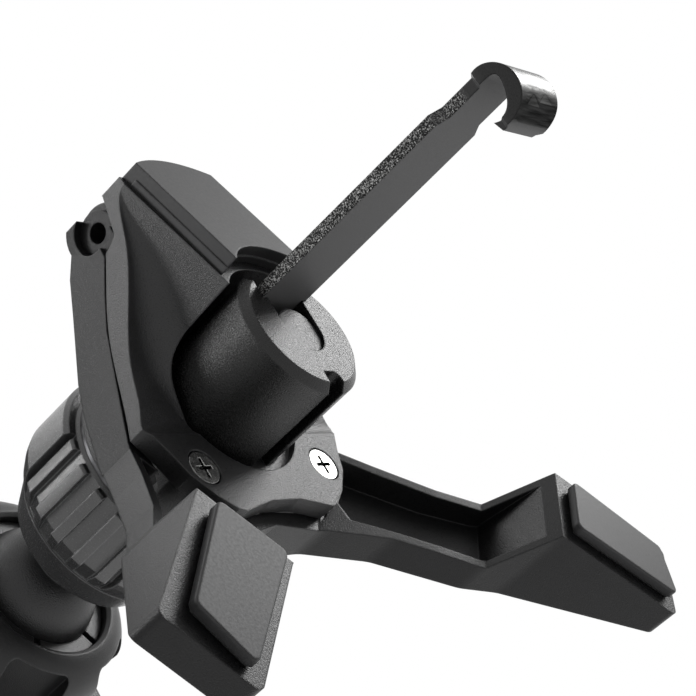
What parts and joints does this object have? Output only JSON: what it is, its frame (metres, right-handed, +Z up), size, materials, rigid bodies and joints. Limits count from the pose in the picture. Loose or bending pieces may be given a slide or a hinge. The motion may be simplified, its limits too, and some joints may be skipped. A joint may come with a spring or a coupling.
{
  "type": "car vent phone charger mount",
  "caption": "Wireless charging phone mount for a car air vent: screw-tightened hook clip with splayed support legs, fluted knob, ball joint and a clamping charger plate.",
  "frame": {"origin": "middle of the front face of the clip's barrel, where the vent blade is gripped", "axes": "+Y out of the barrel to the vent, +Z up, +X to the driver's right"},
  "size_m": [0.0998, 0.1429, 0.1073],
  "materials": {
    "body_plastic": "satin, fine speckle",
    "leg_plastic": "satin, fine speckle",
    "knob_plastic": "satin",
    "pad_rubber": "smooth matt",
    "hook_steel": "dark matt coat",
    "ball_steel": "dark satin",
    "screw_steel": "bright nickel",
    "dark_steel": "plain",
    "nut_brass": "plain",
    "head_plastic": "satin",
    "face_rubber": "smooth matt",
    "coil_copper": "lacquered wire",
    "ferrite": "matt",
    "board": "lacquered",
    "gear_plastic": "plain",
    "liner_plastic": "plain",
    "lens": "clear"
  },
  "bodies": {
    "clip": {"clip_body": "body_plastic", "top_pad": "pad_rubber", "body_screws": "screw_steel", "rear_hub": "body_plastic", "thrust_washer": "dark_steel", "pivot_pin": "knob_plastic"},
    "spindle": {"barrel": "body_plastic", "hook": "hook_steel", "ball_stud": "ball_steel"},
    "knob": {"clamp_knob": "knob_plastic", "knob_nut": "nut_brass", "retaining_ring": "dark_steel"},
    "legs": {"support_legs": "leg_plastic", "right_foot_pad": "pad_rubber", "left_foot_pad": "pad_rubber"},
    "liner": {"ball_liner": "liner_plastic"},
    "collar": {"lock_nut": "head_plastic"},
    "head": {"rear_cover": "head_plastic", "front_cover": "head_plastic", "face_pad": "face_rubber", "charging_coil": "coil_copper", "ferrite_shield": "ferrite", "circuit_board": "board", "usb_inlet": "dark_steel", "drive_motor": "dark_steel", "status_lens": "lens", "case_screws": "dark_steel"},
    "pinion": {"drive_pinion": "gear_plastic"},
    "right_arm": {"right_clamp_arm": "head_plastic", "right_grip": "face_rubber"},
    "left_arm": {"left_clamp_arm": "head_plastic", "left_grip": "face_rubber"},
    "foot": {"bottom_foot": "head_plastic", "ledge_pads": "face_rubber"},
    "right_key": {"right_button": "knob_plastic"},
    "left_key": {"left_button": "knob_plastic"}
  },
  "joints": [
    {"name": "knob_spin", "type": "hinge", "parent": "clip", "child": "knob", "pos_m": [0, -0.033, 0], "axis": [0, 1, 0], "range_deg": [0, 1440]},
    {"name": "hook_slide", "type": "slide", "parent": "clip", "child": "spindle", "axis": [0, -1, 0], "range_m": [0, 0.008]},
    {"name": "legs_swing", "type": "hinge", "parent": "clip", "child": "legs", "pos_m": [0, -0.013, 0.0247], "axis": [-1, 0, 0], "range_deg": [0, 8]},
    {"name": "ball_tilt", "type": "hinge", "parent": "spindle", "child": "liner", "pos_m": [0, -0.0545, 0], "axis": [1, 0, 0], "range_deg": [-25, 25]},
    {"name": "ball_pan", "type": "hinge", "parent": "liner", "child": "collar", "pos_m": [0, -0.0545, 0], "axis": [0, 0, 1], "range_deg": [-24, 24]},
    {"name": "head_turn", "type": "hinge", "parent": "collar", "child": "head", "pos_m": [0, -0.0545, 0], "axis": [0, 1, 0], "continuous": true},
    {"name": "pinion_spin", "type": "hinge", "parent": "head", "child": "pinion", "pos_m": [0, -0.083, 0.02], "axis": [0, 1, 0], "range_deg": [0, 200.6]},
    {"name": "right_arm_slide", "type": "slide", "parent": "head", "child": "right_arm", "axis": [1, 0, 0], "range_m": [0, 0.014]},
    {"name": "left_arm_slide", "type": "slide", "parent": "head", "child": "left_arm", "axis": [-1, 0, 0], "range_m": [0, 0.014]},
    {"name": "foot_slide", "type": "slide", "parent": "head", "child": "foot", "axis": [0, 0, -1], "range_m": [0, 0.016]},
    {"name": "right_button_press", "type": "slide", "parent": "head", "child": "right_key", "axis": [-1, 0, 0], "range_m": [0, 0.0007], "stiffness_N_per_m": 900, "springref_m": -0.0003},
    {"name": "left_button_press", "type": "slide", "parent": "head", "child": "left_key", "axis": [1, 0, 0], "range_m": [0, 0.0007], "stiffness_N_per_m": 900, "springref_m": -0.0003}
  ],
  "couplings": [
    {"joint": "knob_spin", "follows": "hook_slide", "rad_per_m": 3141.6},
    {"joint": "left_arm_slide", "follows": "right_arm_slide", "ratio": 1},
    {"joint": "pinion_spin", "follows": "right_arm_slide", "rad_per_m": 250}
  ]
}
